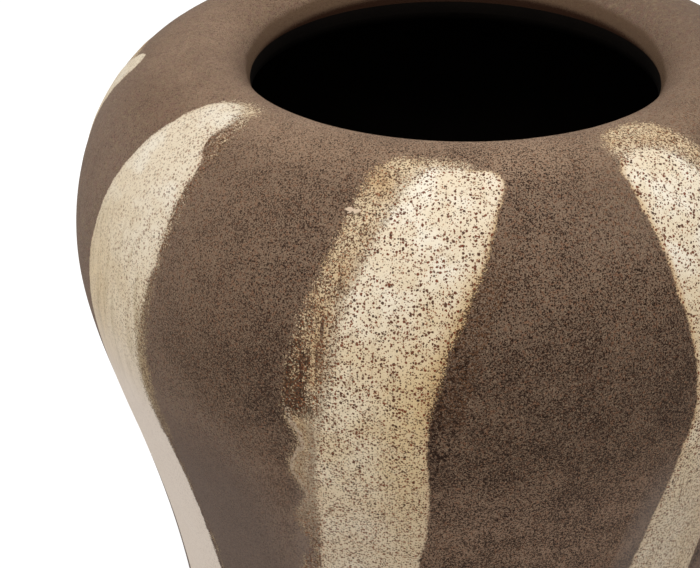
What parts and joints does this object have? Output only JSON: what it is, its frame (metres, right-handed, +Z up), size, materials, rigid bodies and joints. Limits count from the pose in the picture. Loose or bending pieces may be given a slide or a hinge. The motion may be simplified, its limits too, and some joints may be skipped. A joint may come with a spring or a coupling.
{
  "type": "stoneware jar",
  "caption": "Round-shouldered stoneware jar with a wide rolled-in mouth, speckled brown glaze and upright brushed cream stripes, for storage or display.",
  "frame": {"origin": "middle of the standing face under the foot ring, on the jar's axis", "axes": "+Z up along the jar's axis, through the mouth; -Y towards the camera of the picture"},
  "size_m": [0.301, 0.301, 0.3503],
  "materials": {
    "bare_clay": "bare fired stoneware, matt",
    "joint_slip": "fired slip of the same clay, matt",
    "brown_glaze": "matt sandy brown glaze with iron speckle",
    "liner_glaze": "very dark brown liner glaze, matt",
    "cream_slip": "cream brushed slip with iron specks, matt",
    "thin_cream_slip": "thin tan brushed slip that lets the brown show, matt"
  },
  "bodies": {
    "root": {"foot_ring": "bare_clay", "foot_slip": "joint_slip", "lower_body": "bare_clay", "belly_slip": "joint_slip", "shoulder": "bare_clay", "rim_slip": "joint_slip", "rim": "bare_clay", "outside_glaze": "brown_glaze", "inside_glaze": "liner_glaze", "stripe_1_first_pass": "thin_cream_slip", "stripe_1_second_pass": "cream_slip", "stripe_2_first_pass": "thin_cream_slip", "stripe_2_second_pass": "cream_slip", "stripe_3_first_pass": "thin_cream_slip", "stripe_3_second_pass": "cream_slip", "stripe_4_first_pass": "thin_cream_slip", "stripe_4_second_pass": "cream_slip", "stripe_5_first_pass": "thin_cream_slip", "stripe_5_second_pass": "cream_slip", "stripe_6_first_pass": "thin_cream_slip", "stripe_6_second_pass": "cream_slip", "stripe_7_first_pass": "thin_cream_slip", "stripe_7_second_pass": "cream_slip", "stripe_8_first_pass": "thin_cream_slip", "stripe_8_second_pass": "cream_slip"}
  },
  "joints": []
}
